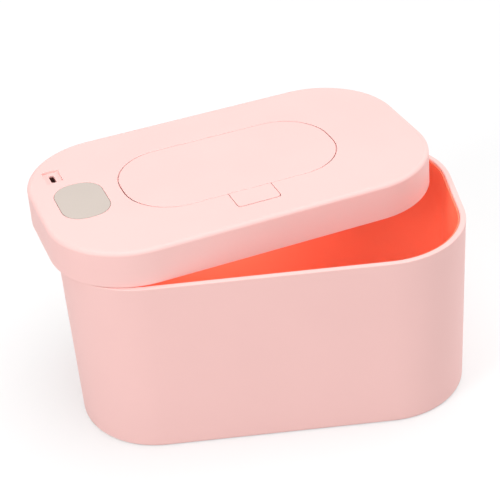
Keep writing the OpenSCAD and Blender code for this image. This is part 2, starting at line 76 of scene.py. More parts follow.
# The loose lid's place: turned about its front left screw, on the tub's rim
TURN = next(joint for joint in frame["joints"] if joint["name"] == "lid_turn")
OPEN = next(joint for joint in frame["joints"] if joint["name"] == "flap_open")
PIVOT = Vector(TURN["pos_m"])
ASKEW = math.radians(-min(TURN["range_deg"]))
LID_PLACE = (
    Matrix.Translation(PIVOT)
    @ Matrix.Rotation(ASKEW, 4, "Z")
    @ Matrix.Translation((-PIVOT.x, -PIVOT.y, 0))
)
LID_FROM_ROW = LID_PLACE.inverted()
PIN = LID_FROM_ROW @ Vector(OPEN["pos_m"])


def lid_box(node):
    """Lowest and highest corner of a lid's node, round the lid's middle."""
    points = [LID_FROM_ROW @ vertex.co for vertex in frame["nodes"][node].data.vertices]
    low = Vector([min(point[axis] for point in points) for axis in range(3)])
    high = Vector([max(point[axis] for point in points) for axis in range(3)])
    return low, high


TUB_LOW, TUB_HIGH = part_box("tub_shell")
LINER_LOW, LINER_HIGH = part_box("inner_liner")
LID_LOW, LID_HIGH = lid_box("lid_shell")
FLAP_LOW, FLAP_HIGH = lid_box("flap_door")
BUTTON_LOW, BUTTON_HIGH = lid_box("release_button")
WINDOW_LOW, WINDOW_HIGH = lid_box("touch_window")
SOCKET_LOW, SOCKET_HIGH = lid_box("port_socket")
TRAY_LOW, TRAY_HIGH = lid_box("dispenser_tray")
MOUTH_LOW, MOUTH_HIGH = lid_box("soft_mouth")
SEAL_LOW, SEAL_HIGH = lid_box("flap_seal")


def length(name, description, default):
    return FloatProperty(
        name=name, description=description, default=default, min=0,
        subtype="DISTANCE", unit="LENGTH",
    )


def colour(name, description, default):
    return FloatVectorProperty(
        name=name, description=description, default=default, min=0, max=1, size=3,
        subtype="COLOR",
    )


class TubSizes(PropertyGroup):
    """Sizes of the tub and its liner."""

    corner: length("Corner", "Radius of the tub's upright corners", 42.6 * MM)
    wall: length("Wall", "Thickness of the tub's wall at the rim", 3.0 * MM)
    floor: length("Floor", "Thickness of the tub's floor", 3.0 * MM)
    foot_edge: length("Foot edge", "Radius of the edge round the underside", 1.8 * MM)
    rim_edge: length("Rim edge", "Radius of the rim's outer edge", 0.5 * MM)
    rim_inner_edge: length("Rim inner edge", "Radius of the rim's inner edge", 0.8 * MM)
    liner_wall: length("Liner wall", "Thickness of the liner", 0.8 * MM)
    liner_fit: length("Liner fit", "Clearance between the liner and the tub", 0.1 * MM)
    liner_edge: length("Liner edge", "Radius between the liner's wall and its floor", 2.0 * MM)
    liner_rim: length("Liner rim", "Radius of the liner's upper inner edge", 0.32 * MM)


class LidSizes(PropertyGroup):
    """Sizes of the lid shell, its window and its charging port."""

    corner: length("Corner", "Radius of the lid's upright corners", 42.1 * MM)
    wall: length("Wall", "Thickness of the lid's upright wall", 2.0 * MM)
    skin: length("Skin", "Thickness of the lid's top", 1.8 * MM)
    draft: length("Draft", "How far the lid's wall leans in towards its top", 0.45 * MM)
    edge: length("Edge", "Radius of the edge round the lid's top", 2.0 * MM)
    low_edge: length("Lower edge", "Radius of the lid's lower outer edge", 0.3 * MM)
    lip: length("Lip", "Radius of the small edges round the openings", 0.2 * MM)
    window_corner: length("Window corner", "Radius of the window's corners", 10.5 * MM)
    window_fit: length("Window groove", "Width of the hairline round the window", 0.2 * MM)
    window_edge: length("Window edge", "Radius of the window's upper edge", 0.08 * MM)
    ledge: length("Ledge", "Width of the ledge that the window lies on", 2.0 * MM)
    port_length: length("Port length", "Size of the port's recess, left to right", 8.5 * MM)
    port_width: length("Port width", "Size of the port's recess, front to back", 12.5 * MM)
    port_depth: length("Port depth", "Depth of the port's recess", 1.2 * MM)
    port_corner: length("Port corner", "Radius of the recess's corners", 1.0 * MM)
    port_wall: length("Port wall", "Thickness of the block round the recess", 1.6 * MM)
    slot_corner: length("Slot corner", "Radius of the slot's corners", 0.8 * MM)
    slot_fit: length("Slot gap", "Gap between the socket and the slot", 0.05 * MM)


class FlapSizes(PropertyGroup):
    """Sizes of the flap, its hinge and the release button."""

    width: length("Width", "Width of the flap, front to back", 57.8 * MM)
    corner: length("Corner", "Radius of the flap's corners", 26.0 * MM)
    thickness: length("Thickness", "Thickness of the flap", 2.0 * MM)
    seam: length("Seam", "Gap between the flap's ends and the lid's top", 0.52 * MM)
    side_seam: length("Side seam", "Gap along the flap's long sides", 0.25 * MM)
    seat: length("Seat", "How far the opening's lip reaches under the flap", 1.05 * MM)
    seat_drop: length("Seat drop", "Height of the opening's upright wall", 0.7 * MM)
    edge: length("Edge", "Radius of the flap's upper edge", 0.25 * MM)
    low_edge: length("Lower edge", "Radius of the flap's lower edge", 0.3 * MM)
    upright: length("Upright edge", "Height of the flap's edge above its slope", 0.3 * MM)
    catch_drop: length("Catch drop", "How far the catch hangs below the flap", 3.2 * MM)
    catch_width: length("Catch width", "Width of the flap's catch", 10.0 * MM)
    catch_back: length("Catch place", "Distance of the catch from the flap's front", 1.5 * MM)
    catch_thickness: length("Catch thickness", "Thickness of the flap's catch", 1.2 * MM)
    hook_height: length("Hook height", "Height of the hook on the catch", 1.0 * MM)
    arm_place: length("Arm place", "Distance of each hinge arm from the middle", 20.0 * MM)
    arm_width: length("Arm width", "Width of a hinge arm", 5.0 * MM)
    arm_thickness: length("Arm thickness", "Thickness of a hinge arm", 1.8 * MM)
    arm_gap: length("Arm gap", "Gap between an arm and the lid's top", 0.35 * MM)
    knuckle: length("Knuckle", "Outer radius of the knuckles round the pin", 1.6 * MM)
    knuckle_wall: length("Knuckle wall", "Thickness of the knuckles round the pin", 0.65 * MM)
    ear_thickness: length("Ear thickness", "Thickness of the ears beside the arms", 2.4 * MM)
    ear_gap: length("Ear gap", "Gap between an arm and the ears beside it", 0.3 * MM)
    ear_hang: length("Ear hang", "How far an ear reaches past the knuckle", 0.4 * MM)
    button_length: length("Button length", "Length of the release button", 22.0 * MM)
    button_fit: length("Button gap", "Gap at each end of the release button", 0.27 * MM)
    button_front: length("Button front gap", "Gap in front of the release button", 0.5 * MM)
    button_back: length("Button back gap", "Gap between the button and the flap", 0.27 * MM)
    button_corner: length("Button corner", "Radius of the button's front corners", 2.0 * MM)
    button_back_corner: length("Back corner", "Radius of the button's back corners", 0.35 * MM)
    button_edge: length("Button edge", "Radius of the button's upper edge", 0.15 * MM)
    button_top: length("Button top", "Thickness of the button's top", 2.0 * MM)
    button_wall: length("Button wall", "Thickness of the button's skirt", 1.2 * MM)
    post_edge: length("Post edge", "Radius between the flap's and the button's opening", 0.15 * MM)
    tab_reach: length("Tab reach", "How far a tab stands out of the button's end", 0.9 * MM)
    tab_width: length("Tab width", "Width of the button's tabs", 6.0 * MM)
    tab_height: length("Tab height", "Height of the button's tabs", 1.4 * MM)


class MouthSizes(PropertyGroup):
    """Sizes of the tray under the flap and its dispensing mouth."""

    tray_corner: length("Tray corner", "Radius of the tray's corners", 20.0 * MM)
    wall: length("Wall", "Thickness of the tray, its collar and its throat", 1.4 * MM)
    collar_length: length("Collar length", "Length of the collar round the mouth", 58.0 * MM)
    collar_width: length("Collar width", "Width of the collar round the mouth", 36.0 * MM)
    collar_height: length("Collar height", "Height of the collar above the tray's floor", 7.0 * MM)
    throat_length: length("Throat length", "Length of the throat below the tray", 46.0 * MM)
    throat_width: length("Throat width", "Width of the throat below the tray", 26.0 * MM)
    slit_length: length("Slit length", "Length of the slit in the soft mouth", 32.0 * MM)
    slit_width: length("Slit width", "Width of the slit in the soft mouth", 7.0 * MM)
    edge: length("Edge", "Radius of the tray's edges", 0.3 * MM)
    notch_gap: length("Notch gap", "Room at each side of the flap's catch", 1.0 * MM)
    notch_depth: length("Notch depth", "Room below the flap's catch", 0.6 * MM)
    mouth_thickness: length("Mouth thickness", "Thickness of the mouth's flat rim", 1.6 * MM)
    lip_foot: length("Lip foot", "Width of the raised lip at its foot", 3.2 * MM)
    lip_neck: length("Lip neck", "Width of the raised lip just above its foot", 1.2 * MM)
    lip_rise: length("Lip rise", "Height of the raised lip's foot", 0.35 * MM)
    lip_top: length("Lip top", "Width of the raised lip at its top", 0.9 * MM)
    seal_width: length("Seal width", "Width of the seal's ring", 3.4 * MM)
    seal_edge: length("Seal edge", "Radius of the seal's lower edges", 1.2 * MM)


class Finishes(PropertyGroup):
    """Colours of the mouldings."""

    pink: colour("Pink", "The tub and the lid", (0.97, 0.61, 0.58))
    liner: colour("Liner", "The tub's coloured liner", (0.84, 0.18, 0.1))
    window: colour("Window", "The touch window", (0.592, 0.515, 0.461))
    silicone: colour("Silicone", "The soft mouth and the flap's seal", (0.85, 0.82, 0.78))


class StageSettings(PropertyGroup):
    """The camera's place and the studio's light."""

    camera_place: FloatVectorProperty(
        name="Camera place", description="Where the camera stands", subtype="TRANSLATION",
        unit="LENGTH", default=(-26.361 * MM, -557.902 * MM, 441.499 * MM),
    )
    camera_turn: FloatProperty(
        name="Turn", description="The camera's turn about the upright axis", subtype="ANGLE",
        unit="ROTATION", default=math.radians(-2.093),
    )
    camera_tilt: FloatProperty(
        name="Tilt", description="How far the camera looks down", subtype="ANGLE",
        unit="ROTATION", default=math.radians(33.419),
    )
    camera_roll: FloatProperty(
        name="Roll", description="The camera's roll about its own line of sight", subtype="ANGLE",
        unit="ROTATION", default=math.radians(-4.689),
    )
    focal_length: FloatProperty(
        name="Focal length", description="Focal length for a sensor 36 mm wide", default=94.705,
        min=1, subtype="DISTANCE_CAMERA",
    )
    room_light_left: FloatProperty(
        name="Room light, left", description="Strength of the room's light from the left",
        default=0.0, min=0,
    )
    room_light_right: FloatProperty(
        name="Room light, right", description="Strength of the room's light from the right",
        default=1.28, min=0,
    )
    floor_size: length("Floor size", "Length of the floor's sides", 8.0)
    floor_gap: length("Floor gap", "How far the floor lies below the tub", 0.05 * MM)
    floor_lift: FloatProperty(
        name="Floor lift", description="How much paler the floor looks than its lit colour",
        default=0.45, min=0,
    )


# ---- Shapes ----


def grown(size, by):
    """A length, a width and a corner's radius, all grown outwards by one distance."""
    long, wide, corner = size
    return long + 2 * by, wide + 2 * by, corner + by


def oval(long, wide):
    """The size of a form whose ends are nearly half round."""
    return long, wide, wide / 2 - 1 * MM


def footprint(low, high):
    """Length, width and middle of a box, as seen from above."""
    return high.x - low.x, high.y - low.y, ((low.x + high.x) / 2, (low.y + high.y) / 2)


def outline(bm, long, wide, corner, height, centre=(0, 0), steps=CORNER_STEPS, back_corner=None):
    """One flat face with the outline of a rounded rectangle. Its back corners may differ."""
    corners = bmesh.ops.create_grid(bm, x_segments=1, y_segments=1, size=0.5)["verts"]
    bmesh.ops.scale(bm, vec=(long, wide, 1), verts=corners)
    turns = [(corners, corner)]
    if back_corner is not None:
        turns = [
            ([vert for vert in corners if vert.co.y < 0], corner),
            ([vert for vert in corners if vert.co.y > 0], back_corner),
        ]
    bmesh.ops.translate(bm, vec=(*centre, height), verts=corners)
    for verts, radius in turns:
        rounded = bmesh.ops.bevel(
            bm, geom=verts, offset=radius, offset_type="OFFSET", segments=steps,
            profile=ARC_PROFILE, affect="VERTICES", material=-1,
        )
    return rounded["verts"][0].link_faces[0]


def open_up(bm, face):
    """Takes a face away and gives its edges, as a hoop."""
    edges = list(face.edges)
    bmesh.ops.delete(bm, geom=[face], context="FACES_ONLY")
    return edges


def hoop(bm, *sizes, **places):
    """The edges of one outline."""
    return open_up(bm, outline(bm, *sizes, **places))


def skin(bm, hoops, closed=False):
    """Walls from each hoop to the next. The hoops are joined one above the other, so that each
    corner meets its own, and are then laid back."""
    rows = [list({vert for edge in edges for vert in edge.verts}) for edges in hoops]
    heights = [row[0].co.z for row in rows]
    for level, row in enumerate(rows):
        bmesh.ops.translate(bm, vec=(0, 0, level * STACK - heights[level]), verts=row)
    for one, other in zip(hoops, hoops[1:] + (hoops[:1] if closed else [])):
        bmesh.ops.bridge_loops(bm, edges=one + other)
    for level, row in enumerate(rows):
        bmesh.ops.translate(bm, vec=(0, 0, heights[level] - level * STACK), verts=row)


def cup(bm, size, wall, low, top, floor, **places):
    """Walls up the outside of a cup, over its rim and down to its floor, and their four hoops."""
    inner = grown(size, -wall)
    steps = ((size, low), (size, top), (inner, top), (inner, floor))
    hoops = [hoop(bm, *around, height, **places) for around, height in steps]
    skin(bm, hoops)
    return hoops


def cap(bm, *hoops):
    """A flat face in each hoop."""
    for edges in hoops:
        bmesh.ops.contextual_create(bm, geom=edges)


def fill(bm, *hoops):
    """A flat face between hoops that lie in one plane."""
    edges = [edge for edges in hoops for edge in edges]
    bmesh.ops.triangle_fill(bm, edges=edges, use_beauty=True)


def soften(bm, edges, radius, steps=EDGE_STEPS):
    """Rounds the edges of a hoop or a block."""
    bmesh.ops.bevel(
        bm, geom=edges, offset=radius, offset_type="OFFSET", segments=steps,
        profile=ARC_PROFILE, affect="EDGES", material=-1, clamp_overlap=True,
    )


def points_of(geometry):
    return [item for item in geometry if isinstance(item, bmesh.types.BMVert)]


def block(bm, low, high, edge):
    """A rounded block between two corners."""
    low, high = Vector(low), Vector(high)
    corners = bmesh.ops.create_cube(bm, size=1)["verts"]
    bmesh.ops.scale(bm, vec=high - low, verts=corners)
    bmesh.ops.translate(bm, vec=(low + high) / 2, verts=corners)
    sides = {side for corner in corners for side in corner.link_edges}
    soften(bm, list(sides), edge, SMALL_STEPS)


def bar(bm, points, low, high, edge):
    """A rounded bar along X whose section is the outline through the points, in Y and Z."""
    section = [bm.verts.new((low, *point)) for point in points]
    face = bm.faces.new(section)
    moved = points_of(bmesh.ops.extrude_face_region(bm, geom=[face])["geom"])
    bmesh.ops.translate(bm, vec=(high - low, 0, 0), verts=moved)
    faces = {face for vert in section + moved for face in vert.link_faces}
    bmesh.ops.recalc_face_normals(bm, faces=list(faces))
    sides = {side for vert in section + moved for side in vert.link_edges}
    soften(bm, list(sides), edge, SMALL_STEPS)


def piece(bm, name, body, slot, stands_for, place=LID_PLACE):
    """Turns a bmesh into a finished piece that rides on its body, in place of the solid nodes."""
    bmesh.ops.remove_doubles(bm, verts=bm.verts, dist=WELD)
    bmesh.ops.recalc_face_normals(bm, faces=bm.faces)
    bmesh.ops.transform(bm, matrix=place, verts=bm.verts)
    for face in bm.faces:
        face.smooth = True
    for edge in bm.edges:
        edge.smooth = len(edge.link_faces) == 2 and edge.calc_face_angle(math.pi) < SHARP
    mesh = bpy.data.meshes.new(name)
    bm.to_mesh(mesh)
    bm.free()
    made = bpy.data.objects.new(name, mesh)
    bpy.context.scene.collection.objects.link(made)
    mesh.materials.append(finish(slot))
    shading = made.modifiers.new("shading", "WEIGHTED_NORMAL")
    shading.keep_sharp = True
    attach(made, body)
    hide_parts(*stands_for)


# ---- Finishes ----


def plug(tree, node, sockets):
    """Gives each named socket its value, or a link where the value is another node's output."""
    for name, value in sockets.items():
        if isinstance(value, bpy.types.NodeSocket):
            tree.links.new(value, node.inputs[name])
        else:
            node.inputs[name].default_value = value


def add_node(tree, kind, sockets=None, **settings):
    """Adds a shader node and gives its outputs."""
    node = tree.nodes.new(kind)
    for name, value in settings.items():
        setattr(node, name, value)
    plug(tree, node, sockets or {})
    return node.outputs


def larger(tree, one, other):
    """The larger one of two values."""
    return add_node(tree, "ShaderNodeMath", {0: one, 1: other}, operation="MAXIMUM")["Value"]


class Finish:
    """A material whose looks follow cloudy values, with short ways to set them."""

    GLOSS_SPAN = (0.3, 0.7)  # the values between which the gloss changes
    TINT_SPAN = (0.35, 0.65)  # the values between which the tint changes

    def __init__(self, name):
        self.material = bpy.data.materials.new(name)
        self.material.use_nodes = True
        self.tree = self.material.node_tree
        self.place = add_node(self.tree, "ShaderNodeTexCoord")["Object"]

    def set(self, sockets):
        plug(self.tree, self.tree.nodes["Principled BSDF"], sockets)

    def noise(self, size, detail, stretch=None):
        """Cloudy values, with clouds of about this size."""
        place = self.place
        if stretch:
            lay = {"Vector": place, "Rotation": (0, 0, -ASKEW), "Scale": stretch}
            place = add_node(self.tree, "ShaderNodeMapping", lay)["Vector"]
        cloud = {"Vector": place, "Scale": 1 / size, "Detail": detail}
        return add_node(self.tree, "ShaderNodeTexNoise", cloud)["Fac"]

    def tint(self, values, dark, light):
        """Base colour from dark to light along the values."""
        shades = self.tree.nodes.new("ShaderNodeValToRGB")
        stops = shades.color_ramp.elements
        for stop, position, shade in zip(stops, self.TINT_SPAN, (dark, light)):
            stop.position = position
            stop.color = (*shade, 1)
        plug(self.tree, shades, {"Fac": values})
        self.set({"Base Color": shades.outputs["Color"]})

    def gloss(self, values, low, high):
        """Roughness from low to high along the values."""
        start, end = self.GLOSS_SPAN
        spread = add_node(self.tree, "ShaderNodeMapRange", {
            "Value": values, "From Min": start, "From Max": end, "To Min": low, "To Max": high,
        })
        self.set({"Roughness": spread["Result"]})

    def bump(self, values, strength, depth):
        """Relief of this depth along the values."""
        relief = {"Height": values, "Strength": strength, "Distance": depth}
        self.set({"Normal": add_node(self.tree, "ShaderNodeBump", relief)["Normal"]})


def moulded(name, base, roughness, mottle=0.03, grain=0.1, grain_size=0.4 * MM, sockets=None):
    """Moulded plastic: faint unevenness in its colour and gloss, and a fine grain."""
    tint_size, gloss_size, gloss_change, grain_depth = 45 * MM, 7 * MM, 0.04, 0.05 * MM
    look = Finish(name)
    look.set(sockets or {})
    dark = [part * (1 - mottle) for part in base]
    light = [min(part * (1 + mottle), 1) for part in base]
    look.tint(look.noise(tint_size, 2), dark, light)
    look.gloss(look.noise(gloss_size, 4), roughness - gloss_change, roughness + gloss_change)
    look.bump(look.noise(grain_size, 3), grain, grain_depth)
    return look.material


def brushed(name, base, roughness, stretch):
    """Metal with fine lines along one direction."""
    line_size, line_depth, darkest, gloss_change = 0.3 * MM, 0.03 * MM, 0.8, 0.08
    look = Finish(name)
    look.set({"Metallic": 1})
    lines = look.noise(line_size, 3, stretch)
    look.tint(lines, [part * darkest for part in base], base)
    look.gloss(lines, roughness - gloss_change, roughness + gloss_change)
    look.bump(lines, 0.15, line_depth)
    return look.material


def recipes():
    """How each material slot is finished: the kind of finish, colour, roughness, and then how
    uneven and how grained it is."""
    looks = bpy.context.scene.warmer_finishes
    fine = (0.1, 0.4 * MM)  # strength and size of the usual grain
    satin = {"Specular IOR Level": 0.25}
    soft = {"Subsurface Weight": 0.15, "Subsurface Scale": 2 * MM, "Sheen Weight": 0.2}
    return {
        "tub_pink": (moulded, looks.pink, 0.5, 0.006, *fine, satin),
        "lid_pink": (moulded, looks.pink, 0.5, 0.012, *fine, satin),
        "liner_orange": (moulded, looks.liner, 0.45, 0.03),
        "window_greige": (moulded, looks.window, 0.4, 0.02, 0.2),
        "silicone": (moulded, looks.silicone, 0.6, 0.03, *fine, soft),
        "aluminium": (brushed, (0.6, 0.61, 0.63), 0.38, (0.04, 1, 1)),
        "steel": (brushed, (0.55, 0.54, 0.53), 0.3, (1, 1, 0.2)),
        "film": (moulded, (0.48, 0.17, 0.03), 0.3, 0.1),
        "felt": (moulded, (0.78, 0.74, 0.64), 0.9, 0.08, 0.9, 0.3 * MM, {"Sheen Weight": 0.4}),
        "board": (moulded, (0.012, 0.13, 0.05), 0.35, 0.15),
        "chip": (moulded, (0.012, 0.012, 0.014), 0.5, 0.2, 0.4),
        "digits": (moulded, (0.75, 0.73, 0.68), 0.3, 0.03),
        "wire_red": (moulded, (0.45, 0.02, 0.02), 0.45, 0.08),
        # painted shade: a dark reddish brown that stands for the shade and pink bounce light deep in the charging
        # slot, not the socket's own colour
        "dark_socket": (moulded, (0.16, 0.06, 0.055), 0.5, 0.15),
    }


def finish(slot):
    """The material of a slot, made when it is first asked for."""
    name = slot + " finish"
    made = bpy.data.materials.get(name)
    if made is None:
        make, *values = recipes()[slot]
        made = make(name, *values)
    return made


# ---- Operators, one for each piece or group ----


class WARMER_OT_tub(Operator):
    """Build the pink tub"""

    bl_idname = "warmer.tub"
    bl_label = "Tub"

    def execute(self, context):
        sizes = context.scene.warmer_tub
        long, wide, high = TUB_HIGH - TUB_LOW
        size = (long, wide, sizes.corner)
        bm = bmesh.new()
        foot, rim_out, rim_in, floor = cup(bm, size, sizes.wall, 0, high, sizes.floor)
        cap(bm, foot, floor)
        soften(bm, foot, sizes.foot_edge, LARGE_STEPS)
        soften(bm, rim_out, sizes.rim_edge)
        soften(bm, rim_in, sizes.rim_inner_edge)
        piece(bm, "tub", "tub", "tub_pink", ["tub_shell"], Matrix())
        return {"FINISHED"}


class WARMER_OT_liner(Operator):
    """Build the coloured liner inside the tub"""

    bl_idname = "warmer.liner"
    bl_label = "Liner"

    def execute(self, context):
        sizes = context.scene.warmer_tub
        long, wide, _ = footprint(LINER_LOW, LINER_HIGH)
        low, top, wall = LINER_LOW.z, LINER_HIGH.z, sizes.liner_wall
        size = (long, wide, sizes.corner - sizes.wall - sizes.liner_fit)
        bm = bmesh.new()
        under, _, rim_in, floor = cup(bm, size, wall, low, top, low + wall)
        cap(bm, under, floor)
        soften(bm, floor, sizes.liner_edge, LARGE_STEPS)
        soften(bm, rim_in, sizes.liner_rim, SMALL_STEPS)
        piece(bm, "liner", "tub", "liner_orange", ["inner_liner"], Matrix())
        return {"FINISHED"}


def flap_opening(bm, flap, grow, height, seat=0.0):
    """The hoop of the one opening for the flap and the button, made wider by grow. Its ends and
    its front come in by seat, under the flap's sloping edge."""
    near = 0.01 * MM
    ends, sides = flap.seam + grow - seat, flap.side_seam + grow - seat / 2
    long, wide = FLAP_HIGH.x - FLAP_LOW.x, flap.width
    middle = FLAP_LOW.y + wide / 2 + seat / 2
    flap_face = outline(
        bm, long + 2 * ends, wide + 2 * sides, flap.corner + sides, height, (0, middle)
    )
    half = flap.button_length / 2 + flap.button_fit + grow
    front = BUTTON_LOW.y - flap.button_front - grow
    # the part of the front edge between the button's sides is drawn out to the button's front
    across = [
        edge for edge in flap_face.edges if abs(edge.verts[0].co.x + edge.verts[1].co.x) < near
    ]
    front_edge = min(across, key=lambda edge: edge.verts[0].co.y)
    posts = points_of(bmesh.ops.subdivide_edges(bm, edges=[front_edge], cuts=2)["geom_inner"])
    for post in posts:
        post.co.x = math.copysign(half, post.co.x)
    between = bm.edges.get(posts)
    corners = points_of(bmesh.ops.extrude_edge_only(bm, edges=[between])["geom"])
    for corner in corners:
        corner.co.y = front
    bmesh.ops.recalc_face_normals(bm, faces=list(between.link_faces))
    bmesh.ops.dissolve_edges(bm, edges=[between], use_verts=False)
    for verts, radius in ((corners, flap.button_corner + grow), (posts, flap.post_edge)):
        bmesh.ops.bevel(
            bm, geom=verts, offset=radius, offset_type="OFFSET", segments=MEDIUM_STEPS,
            profile=ARC_PROFILE, affect="VERTICES", material=-1,
        )
    whole = next(face for face in bm.faces if abs(face.calc_center_median().z - height) < near)
    return open_up(bm, whole)


class WARMER_OT_lid(Operator):
    """Build the lid shell with its openings and recesses"""

    bl_idname = "warmer.lid"
    bl_label = "Lid shell"

    def execute(self, context):
        sizes, flap = context.scene.warmer_lid, context.scene.warmer_flap
        long, wide, _ = footprint(LID_LOW, LID_HIGH)
        size, top, under = (long, wide, sizes.corner), LID_HIGH.z, LID_HIGH.z - sizes.skin
        flat = 1 * MM  # width of the flat ring that is kept inside the rounded edge
        bm = bmesh.new()
        low_out = hoop(bm, *size, 0)
        top_out = hoop(bm, *grown(size, -sizes.draft), top)
        top_in = hoop(bm, *grown(size, -sizes.draft - sizes.edge - flat), top)
        low_in = hoop(bm, *grown(size, -sizes.wall), 0)
        under_in = hoop(bm, *grown(size, -sizes.wall), under)
        steps = (
            (RING, top, 0), (0, top, 0), (0, top - flap.seat_drop, 0), (0, under, flap.seat)
        )
        mouth = [flap_opening(bm, flap, grow, height, seat) for grow, height, seat in steps]
        window = self.window(bm, sizes, top, under)
        port, port_under, slot = self.port(bm, sizes, top, under)
        skin(bm, [under_in, low_in, low_out, top_out, top_in])
        skin(bm, mouth)
        fill(bm, top_in, mouth[0], window[0], port[0])
        fill(bm, under_in, mouth[-1], window[-1], port_under)
        soften(bm, top_out, sizes.edge, LARGE_STEPS)
        soften(bm, low_out, sizes.low_edge, SMALL_STEPS)
        for edges in (mouth[1], window[1], port[1], slot):
            soften(bm, edges, sizes.lip, SMALL_STEPS)
        self.ears(bm, flap, under)
        piece(bm, "lid_top", "lid", "lid_pink", ["lid_shell"])
        return {"FINISHED"}

    def window(self, bm, sizes, top, under):
        """The seat of the touch window and the hole below it."""
        long, wide, centre = footprint(WINDOW_LOW, WINDOW_HIGH)
        size = (long, wide, sizes.window_corner)
        fit, ledge, clear = sizes.window_fit, sizes.ledge, 0.02 * MM
        seat = WINDOW_LOW.z - clear
        steps = ((fit + RING, top), (fit, top), (fit, seat), (-ledge, seat), (-ledge, under))
        hoops = [hoop(bm, *grown(size, grow), height, centre=centre) for grow, height in steps]
        skin(bm, hoops)
        return hoops

    def port(self, bm, sizes, top, under):
        """The charging port's recess, its slot and the thicker block below it."""
        slot_long, slot_wide, centre = footprint(SOCKET_LOW, SOCKET_HIGH)
        size = (sizes.port_length, sizes.port_width, sizes.port_corner)
        slot_size = (slot_long, slot_wide, sizes.slot_corner)
        floor, low = top - sizes.port_depth, SOCKET_HIGH.z + sizes.slot_fit
        fit, wall, slot_ring = sizes.slot_fit, sizes.port_wall, 0.45 * MM
        walls = (
            (size, ((RING, top), (0, top), (0, floor))),
            (slot_size, ((slot_ring, floor), (fit, floor), (fit, low))),
            (size, ((wall, low), (wall, under))),
        )
        recess, slot, boss = (
            [hoop(bm, *grown(inner, grow), height, centre=centre) for grow, height in steps]
            for inner, steps in walls
        )
        for hoops in (recess, slot, boss):
            skin(bm, hoops)
        fill(bm, recess[-1], slot[0])
        fill(bm, boss[0], slot[-1])
        return recess, boss[-1], slot[1]

    def ears(self, bm, flap, under):
        """The four ears that hold the hinge pin."""
        edge = 0.3 * MM
        hang, thick = flap.knuckle + flap.ear_hang, flap.ear_thickness
        gap = flap.arm_width / 2 + flap.ear_gap
        for arm in (-flap.arm_place, flap.arm_place):
            for low in (arm - gap - thick, arm + gap):
                start = (low, PIN.y - hang, PIN.z - hang)
                block(bm, start, (low + thick, PIN.y + hang, under + LAP), edge)


class WARMER_OT_flap(Operator):
    """Build the flap with its curved hinge arms and its catch"""

    bl_idname = "warmer.flap"
    bl_label = "Flap"

    def execute(self, context):
        flap = context.scene.warmer_flap
        top = LID_HIGH.z
        low, lip = top - flap.thickness, top - flap.upright
        size = (FLAP_HIGH.x - FLAP_LOW.x, flap.width, flap.corner)
        middle = (0, FLAP_LOW.y + flap.width / 2)
        bm = bmesh.new()
        steps = ((grown(size, low - lip), low), (size, lip), (size, top))
        under, side, rim = (hoop(bm, *around, z, centre=middle) for around, z in steps)
        skin(bm, [under, side, rim])
        cap(bm, under, rim)
        soften(bm, rim, flap.edge)
        soften(bm, under, flap.low_edge, SMALL_STEPS)
        for place in (-flap.arm_place, flap.arm_place):
            self.arm(bm, flap, place)
        self.catch(bm, flap, low)
        piece(bm, "flap", "flap", "lid_pink", ["flap_door"])
        return {"FINISHED"}

    def arm(self, bm, flap, place):
        """One curved arm from the flap's underside round to its knuckle on the pin."""
        opening_back = FLAP_LOW.y + flap.width + flap.seam
        inner = math.hypot(PIN.y - opening_back, LID_HIGH.z - PIN.z) + flap.arm_gap
        thick = flap.arm_thickness
        low, high = place - flap.arm_width / 2, place + flap.arm_width / 2
        start, sweep, edge = math.radians(160), math.radians(140), 0.2 * MM
        along, up = math.cos(start), math.sin(start)
        ends = ((low, inner), (high, inner), (high, inner + thick), (low, inner + thick))
        corners = [
            bm.verts.new((x, PIN.y + reach * along, PIN.z + reach * up)) for x, reach in ends
        ]
        bmesh.ops.spin(
            bm, geom=[bm.faces.new(corners)], cent=PIN, axis=(1, 0, 0), angle=sweep, steps=20,
            use_duplicate=False,
        )
        # the spoke from the arm's end to the knuckle reaches a little into both
        out = Vector((0, math.cos(start + sweep), math.sin(start + sweep)))
        across = Vector((0, -out.z, out.y)) * thick
        near, far = out * (flap.knuckle * 0.8), out * (inner + thick * 0.6)
        centre = Vector((0, PIN.y, PIN.z))
        spoke = [centre + near, centre + far, centre + far - across, centre + near - across]
        bar(bm, [(point.y, point.z) for point in spoke], low, high, edge)
        lay = Matrix.Translation((low, PIN.y, PIN.z)) @ Matrix.Rotation(math.pi / 2, 4, "Y")
        rings = [
            bmesh.ops.create_circle(bm, segments=32, radius=radius, matrix=lay)["verts"]
            for radius in (flap.knuckle, flap.knuckle - flap.knuckle_wall)
        ]
        edges = list({edge for ring in rings for vert in ring for edge in vert.link_edges})
        faces = bmesh.ops.bridge_loops(bm, edges=edges)["faces"]
        moved = points_of(bmesh.ops.extrude_face_region(bm, geom=faces)["geom"])
        bmesh.ops.translate(bm, vec=(high - low, 0, 0), verts=moved)

    def catch(self, bm, flap, under):
        """The catch below the flap's front edge, with the hook that the button lets go."""
        half, foot = flap.catch_width / 2, under - flap.catch_drop
        wall, tip = FLAP_LOW.y + flap.catch_back, FLAP_LOW.y + 0.1 * MM
        root, edge, hook_edge = wall + 0.3 * MM, 0.15 * MM, 0.2 * MM
        block(bm, (-half, wall, foot), (half, wall + flap.catch_thickness, under + LAP), edge)
        block(bm, (-half, tip, foot), (half, root, foot + flap.hook_height), hook_edge)


